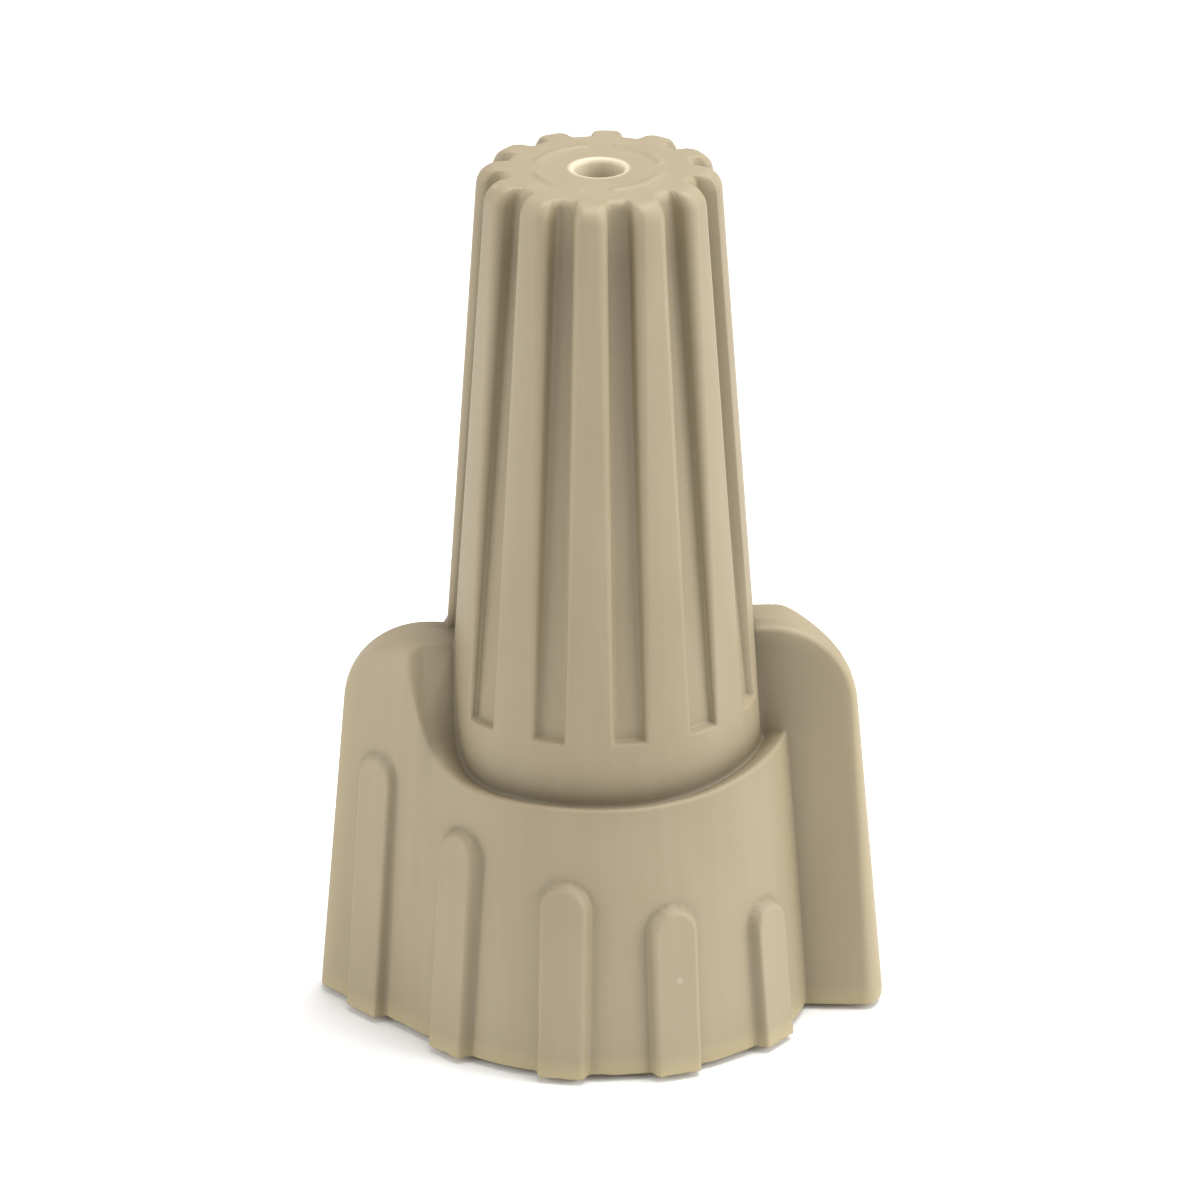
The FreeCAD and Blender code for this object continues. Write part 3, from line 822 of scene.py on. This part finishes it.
def grip_rib_tool(material):
    group, tree, given = new_node_tool("grip_ribs", {
        "Half width": ("NodeSocketFloat", GRIP_HALF), "Proud": ("NodeSocketFloat", GRIP_PROUD),
        "Side rise": ("NodeSocketFloat", SIDE_RISE)})
    x, y, z = [axis / MM for axis in tree.axes(tree.add("GeometryNodeInputPosition"))]
    outer = (z - 0.02).maths("GREATER_THAN", 0.0)
    outer = outer * ((x * x + y * y).root() + z * DRAFT - 6.9).maths("GREATER_THAN", 0.0)
    move_x, move_y = 0.0 * x, 0.0 * y
    painted_shade = tree.add("GeometryNodeInputNamedAttribute", {"data_type": "FLOAT"}, {0: "recess"})
    for facing, offset, top in GRIPS.values():
        c, s = math.cos(math.radians(facing)), math.sin(math.radians(facing))
        out = x * c + y * s
        way = out.sign()
        beside = (y * c - x * s) * way - offset
        above = (z - top + given["Half width"]).most(0.0)
        inside = given["Half width"] - (beside * beside + above * above).root()
        rise = ((inside + 0.04) / given["Side rise"]).held()
        raised = 1.0 - (1.0 - rise) ** 2.5
        gap = (given["Proud"] + SKIRT_FOOT - z * DRAFT - out.size()).most(0.0)
        near = gap.maths("LESS_THAN", 0.8) * outer
        lift = gap * raised * near * way
        # A narrow band along each rib's foot takes painted shade through the recess number.
        beside_rib = (1.0 - (inside + 0.06).size() / 0.17).held()
        painted_shade = painted_shade.most(beside_rib * near * 0.45)
        move_x, move_y = move_x + lift * c, move_y + lift * s
    move = tree.add("ShaderNodeCombineXYZ", inputs={0: move_x * MM, 1: move_y * MM})
    marked = tree.add("GeometryNodeStoreNamedAttribute",
                      {"data_type": "FLOAT", "domain": "POINT"},
                      {"Geometry": given["Geometry"], "Name": "recess", "Value": painted_shade})
    moved = tree.add("GeometryNodeSetPosition", inputs={"Geometry": marked, "Offset": move})
    end_node_tool(tree, moved, material)
    return group


plastic = bpy.data.materials.new("tan_moulded_plastic")
plastic.use_nodes = True
rib_sizes = {"Half width": GRIP_HALF, "Proud": GRIP_PROUD, "Side rise": SIDE_RISE}
shell = run_node_tool(shell, grip_rib_tool(plastic), rib_sizes, "moulded_shell")
print("ribs raised, shell width %.2f mm" % (shell.dimensions.y / MM))

# %% [markdown]
# ## Spring
# The spring is square steel wire wound on a taper, a corner inwards, so that it cuts its own
# thread on the twisted conductors. It follows one rule of angle, so Geometry Nodes bend a line
# into the coil and sweep a diamond along it, with the wire's corners slightly rounded.

# %% Geometry Nodes: wound square wire
def spring_tool(material):
    group, tree, given = new_node_tool("wound_wire", {
        "Points": ("NodeSocketInt", 420), "Turns": ("NodeSocketFloat", 9.5),
        "Foot height": ("NodeSocketFloat", 10.9), "Crown height": ("NodeSocketFloat", 27.2),
        "Foot radius": ("NodeSocketFloat", 3.4), "Crown radius": ("NodeSocketFloat", 2.1),
        "Wire side": ("NodeSocketFloat", 0.9)})
    line = tree.add("GeometryNodeMeshLine", {"mode": "OFFSET"}, {"Count": given["Points"]})
    share = tree.add("GeometryNodeInputIndex") / (given["Points"] - 1.0)
    turn = share * given["Turns"] * (2 * math.pi)
    radius = given["Foot radius"] + (given["Crown radius"] - given["Foot radius"]) * share
    height = given["Foot height"] + (given["Crown height"] - given["Foot height"]) * share
    place = tree.add("ShaderNodeCombineXYZ", inputs={
        0: radius * turn.maths("COSINE") * MM, 1: radius * turn.maths("SINE") * MM,
        2: height * MM})
    wound = tree.add("GeometryNodeSetPosition", inputs={"Geometry": line, "Position": place})
    path = tree.add("GeometryNodeMeshToCurve", inputs={0: wound})
    path = tree.add("GeometryNodeSetCurveNormal", {"mode": "Z_UP"}, {0: path})
    section = tree.add("GeometryNodeCurvePrimitiveCircle", {"mode": "RADIUS"}, {
        "Resolution": 4, "Radius": given["Wire side"] * (math.sqrt(0.5) * MM)})
    section = tree.add("GeometryNodeFilletCurve", {"mode": "POLY"},
                       {"Curve": section, "Count": 3, "Radius": 0.07 * MM})
    wire = tree.add("GeometryNodeCurveToMesh",
                    inputs={"Curve": path, "Profile Curve": section, "Fill Caps": True})
    end_node_tool(tree, wire, material)
    return group


WIRE_SIDE, SPRING_PITCH, SPRING_GAP = 0.9, 1.70, 0.045
CHAMBER_FOOT, CHAMBER_CROWN = (4.15, 10.0), (2.75, 28.2)


def spring_sizes():
    """Turns and radii that fill the frame's spring box with the chamber's own taper."""
    low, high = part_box("wire_spring")
    half = WIRE_SIDE * math.sqrt(2.0) / 2.0
    foot, crown = low[2] / MM + half, high[2] / MM - half
    (wide, wide_at), (narrow, narrow_at) = CHAMBER_FOOT, CHAMBER_CROWN
    taper = (wide - narrow) / (narrow_at - wide_at)
    radii = [wide - (z - wide_at) * taper - SPRING_GAP - half for z in (foot, crown)]
    return {"Foot height": foot, "Crown height": crown, "Turns": (crown - foot) / SPRING_PITCH,
            "Foot radius": radii[0], "Crown radius": radii[1], "Wire side": WIRE_SIDE}


steel = bpy.data.materials.new("zinc_plated_wire")
steel.use_nodes = True
blank = bpy.data.objects.new("wound_wire", bpy.data.meshes.new("wound_wire"))
bpy.context.scene.collection.objects.link(blank)
spring = run_node_tool(blank, spring_tool(steel), spring_sizes(), "wound_spring")
print("spring:", len(spring.data.polygons), "faces,",
      {name: round(size, 2) for name, size in spring_sizes().items()})

# %% [markdown]
# ## Finish of the shell
# The plastic is a dull tan polypropylene. Close up it is not one flat colour: the moulding is a
# touch mottled, fine draw lines run up the walls, and a few pale specks and pits sit in it. Thin
# edges at the mouth and the wing tips are painted yellower, a painted glow for light let through
# the thin plastic. Each of those is a formula on the piece's own position.
# The probe hole is painted paler, for the light that comes through the thin wall round it, and the
# recess attribute sets painted shade in the grooves, the crease at the cone's foot and the rib feet.

# %% Material: tan moulded plastic
def clear_material(material):
    """The material's tree with only an output and a Principled shader in it."""
    material.node_tree.nodes.clear()
    tree = Tree(material.node_tree)
    surface = tree.add("ShaderNodeBsdfPrincipled")
    tree.add("ShaderNodeOutputMaterial", inputs={0: surface})
    return tree, surface.socket.node


def feed(shader, **links):
    for name, value in links.items():
        socket = shader.inputs[name.replace("_", " ")]
        if isinstance(value, Sum):
            value.tree.tree.links.new(value.socket, socket)
        else:
            socket.default_value = value


def noise(tree, where, scale, detail=2.0, roughness=0.5, stretch=(1.0, 1.0, 1.0)):
    spot = tree.add("ShaderNodeVectorMath", {"operation": "MULTIPLY"}, {0: where, 1: stretch})
    return tree.add("ShaderNodeTexNoise", {"noise_dimensions": "3D"},
                    {"Vector": spot, "Scale": scale, "Detail": detail, "Roughness": roughness})


def mixed(tree, share, low, high):
    """A colour mix; share is 0 for the first colour and 1 for the second."""
    first, second = [colour if isinstance(colour, Sum) else (*colour, 1.0) for colour in (low, high)]
    return tree.add("ShaderNodeMix", {"data_type": "RGBA"}, {0: share, 6: first, 7: second}, out=2)


def step_between(value, low, high):
    """0 below one value, 1 above another, straight between them."""
    return ((value - low) / (high - low)).held()


TAN = (0.300, 0.250, 0.161)
TAN_PALE = (0.338, 0.287, 0.197)
TAN_DEEP = (0.270, 0.220, 0.136)
TAN_PAINTED_GLOW = (0.410, 0.336, 0.178)
TAN_PAINTED_SHADE = (0.120, 0.093, 0.053)
TAN_LIT = (0.620, 0.545, 0.400)


def paint_plastic():
    tree, shader = clear_material(plastic)
    where = tree.add("ShaderNodeTexCoord", out=3)
    x, y, z = [axis / MM for axis in tree.axes(where)]
    out = (x * x + y * y).root()
    broad = noise(tree, where, 90.0, 3.0, 0.55)
    streaks = noise(tree, where, 900.0, 3.0, 0.6, (1.0, 1.0, 0.06))
    grain = noise(tree, where, 5200.0, 2.0, 0.6)
    outside = step_between(out, 6.4, 6.7)
    foot = (1.0 - step_between(z, 0.05, 0.75)) * outside
    tip = step_between(x.size() + z * DRAFT, 9.45, 9.95)
    # Painted glow: the mouth's outer foot and the wing tips turn yellower, for light let through thin
    # plastic.
    painted_glow = (foot * 0.65).most(tip * 0.32)
    base = mixed(tree, step_between(broad, 0.35, 0.68), TAN_DEEP, TAN)
    base = mixed(tree, step_between(streaks, 0.45, 0.80) * 0.35, base, TAN_PALE)
    base = mixed(tree, painted_glow, base, TAN_PAINTED_GLOW)
    hole = step_between(z, 28.2, 28.4) * (1.0 - step_between(out, 0.98, 1.12))
    base = mixed(tree, hole * 0.8, base, TAN_LIT)
    # Painted shade: points with a high recess number are darkened towards a deep tan.
    recess = tree.add("ShaderNodeAttribute", {"attribute_name": "recess"}, out=2)
    base = mixed(tree, recess * 0.62, base, TAN_PAINTED_SHADE)
    specks = tree.add("ShaderNodeTexVoronoi", {"feature": "F1"},
                      {"Vector": where, "Scale": 620.0, "Randomness": 1.0})
    rare = step_between(noise(tree, where, 260.0, 0.0), 0.60, 0.66)
    dots = (1.0 - step_between(specks, 0.04, 0.09)) * rare
    base = mixed(tree, dots * 0.30, base, (0.55, 0.50, 0.40))
    rough = 0.47 + broad * 0.10 + grain * 0.06 - dots * 0.15
    height = streaks * 0.45 + grain * 0.30 + broad * 0.6 - dots * 0.4
    bump = tree.add("ShaderNodeBump", None, {"Strength": 0.22, "Distance": 0.00006,
                                             "Height": height})
    feed(shader, Base_Color=base, Roughness=rough, Normal=bump, IOR=1.49,
         Subsurface_Weight=0.10, Subsurface_Scale=0.0005)
    shader.inputs["Subsurface Radius"].default_value = (1.0, 0.72, 0.38)


paint_plastic()
print("plastic has", len(plastic.node_tree.nodes), "nodes")

# %% [markdown]
# ## Finish of the spring
# Zinc plating on drawn wire is a bright bluish grey with dull clouds, and drawing leaves fine
# lines. Two noises in the piece's own position give both, one even and one squeezed along Z.

# %% Material: zinc-plated wire
def paint_steel():
    tree, shader = clear_material(steel)
    where = tree.add("ShaderNodeTexCoord", out=3)
    clouds = noise(tree, where, 700.0, 3.0, 0.6)
    lines = noise(tree, where, 1500.0, 2.0, 0.6, (1.0, 1.0, 5.0))
    colour = mixed(tree, step_between(clouds, 0.35, 0.70), (0.50, 0.52, 0.55), (0.72, 0.73, 0.74))
    bump = tree.add("ShaderNodeBump", None, {"Strength": 0.25, "Distance": 0.00002,
                                             "Height": lines + clouds * 0.5})
    feed(shader, Base_Color=colour, Metallic=1.0, Roughness=0.24 + clouds * 0.22, Normal=bump)


paint_steel()
print("wire has", len(steel.node_tree.nodes), "nodes")

# %% [markdown]
# ## Join the pieces to the frame
# The connector is one rigid body: the spring is pressed into the shell. Each piece rides on that
# body and stands for its plain CAD node, which is hidden.

# %% Ride and replace
for piece, slot, node in ((shell, "shell_plastic", "shell"), (spring, "spring_steel", "wire_spring")):
    smooth = piece.modifiers.new("even_shading", "WEIGHTED_NORMAL")
    smooth.keep_sharp = True
    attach(piece, "root")
    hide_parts(node)
    print(piece.name, "rides on root as", slot)

# %% [markdown]
# ## Light table
# A product of this kind is shown on a bright sweep: light from every side, a large soft box above
# and to the right, and a white floor. The floor is staged, so it isn't part of the object.

# %% Floor, world and soft boxes
def soft_box(name, spot, aim, size, power):
    light = bpy.data.lights.new(name, "AREA")
    light.shape, light.size, light.energy = "DISK", size, power
    box = bpy.data.objects.new(name, light)
    box.location = spot
    box.rotation_euler = (Vector(spot) - Vector(aim)).to_track_quat("Z", "Y").to_euler()
    bpy.context.scene.collection.objects.link(box)
    return box


def white_floor():
    mesh = bpy.data.meshes.new("floor")
    side = 3.0
    mesh.from_pydata([(-side, -side, 0), (side, -side, 0), (side, side, 0), (-side, side, 0)],
                     [], [(0, 1, 2, 3)])
    floor = bpy.data.objects.new("floor", mesh)
    floor.location.z = -0.0002
    paper = bpy.data.materials.new("floor_paper")
    paper.use_nodes = True
    shader = paper.node_tree.nodes["Principled BSDF"]
    shader.inputs["Base Color"].default_value = (0.86, 0.86, 0.86, 1.0)
    shader.inputs["Roughness"].default_value = 0.9
    mesh.materials.append(paper)
    bpy.context.scene.collection.objects.link(floor)


world = bpy.data.worlds.new("studio")
bpy.context.scene.world = world
world.use_nodes = True
world.node_tree.nodes["Background"].inputs["Color"].default_value = (1.0, 1.0, 1.0, 1.0)
world.node_tree.nodes["Background"].inputs["Strength"].default_value = 0.62
bpy.context.scene.view_settings.view_transform = "Standard"
white_floor()
soft_box("soft_box_above", (0.10, 0.06, 0.42), (0, 0, 0.015), 0.34, 2.1)
soft_box("soft_box_left", (-0.34, -0.12, 0.14), (0, 0, 0.015), 0.26, 0.75)
soft_box("soft_box_right", (0.34, -0.10, 0.16), (0, 0, 0.015), 0.26, 1.0)
print("lights:", [light.name for light in bpy.data.lights])

# Only the relief arcs pass the design's box, by 0.05 mm on top.
